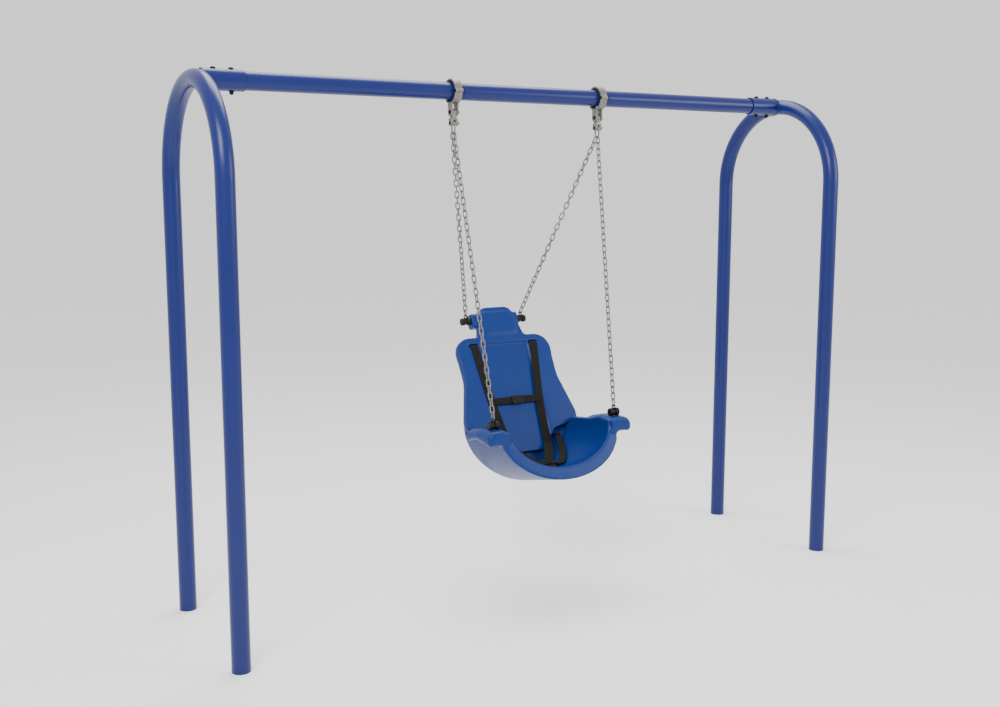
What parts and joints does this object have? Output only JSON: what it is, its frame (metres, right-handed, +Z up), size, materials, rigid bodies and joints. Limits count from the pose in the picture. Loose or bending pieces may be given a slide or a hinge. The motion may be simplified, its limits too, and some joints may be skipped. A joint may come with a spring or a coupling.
{
  "type": "adaptive swing set",
  "caption": "Free-standing swing frame of two round-topped pipe arches and a top rail, with a high-backed adaptive bucket seat and harness hung on chains.",
  "frame": {"origin": "on the ground under the middle of the top rail, midway between the legs", "axes": "+X along the top rail to the sitter's left-hand arch as seen from behind the seat, +Y behind the seat, +Z up"},
  "size_m": [3.701, 1.0056, 2.7559],
  "materials": {
    "blue_paint": "gloss powder coat, royal blue",
    "galvanised": "dull galvanised",
    "chain_steel": "plated, slightly dull",
    "dark_steel": "satin black",
    "liner_rubber": "matte black",
    "boot_rubber": "satin black",
    "insert_brass": "plain",
    "seat_plastic": "satin moulded, azure blue",
    "webbing": "woven, near black",
    "buckle_plastic": "satin black"
  },
  "bodies": {
    "frame": {"arch_left": "blue_paint", "arch_right": "blue_paint", "clamp_bolts": "dark_steel", "clamp_liner_left": "liner_rubber", "clamp_liner_right": "liner_rubber", "clamp_lower_left": "galvanised", "clamp_lower_right": "galvanised", "clamp_nuts": "dark_steel", "clamp_upper_left": "galvanised", "clamp_upper_right": "galvanised", "pivot_bolts": "dark_steel", "pivot_nuts": "dark_steel", "rail_bolts": "dark_steel", "rail_nuts": "dark_steel", "rail_washers": "dark_steel", "sleeve_left": "blue_paint", "sleeve_right": "blue_paint", "top_rail": "blue_paint"},
    "swing": {"anchor_boot_back_left": "boot_rubber", "anchor_boot_back_right": "boot_rubber", "anchor_boot_front_left": "boot_rubber", "anchor_boot_front_right": "boot_rubber", "anchor_eye_back_left": "dark_steel", "anchor_eye_back_right": "dark_steel", "anchor_eye_front_left": "dark_steel", "anchor_eye_front_right": "dark_steel", "anchor_inserts": "insert_brass", "anchor_studs": "dark_steel", "chain_back_left": "chain_steel", "chain_back_right": "chain_steel", "chain_front_left": "chain_steel", "chain_front_right": "chain_steel", "chest_buckle_body": "buckle_plastic", "chest_strap_left": "webbing", "connector_left": "galvanised", "connector_right": "galvanised", "crotch_strap": "webbing", "fork_bolts": "dark_steel", "fork_nuts": "dark_steel", "harness_hub": "buckle_plastic", "hip_strap_left": "webbing", "hip_strap_right": "webbing", "joint_bolts": "dark_steel", "joint_inserts": "insert_brass", "pendulum_left": "galvanised", "pendulum_right": "galvanised", "pivot_bushings": "insert_brass", "seat_back": "seat_plastic", "seat_bucket": "seat_plastic", "shoulder_strap_left": "webbing", "shoulder_strap_right": "webbing", "strap_bars": "dark_steel"},
    "chest_tongue": {"chest_buckle_tongue": "buckle_plastic", "chest_strap_right": "webbing"}
  },
  "joints": [
    {"name": "swing", "type": "hinge", "parent": "frame", "child": "swing", "pos_m": [0, 0, 2.585], "axis": [1, 0, 0], "range_deg": [-60, 60]},
    {"name": "chest_buckle", "type": "slide", "parent": "swing", "child": "chest_tongue", "axis": [1, 0, 0], "range_m": [0, 0.035]}
  ]
}
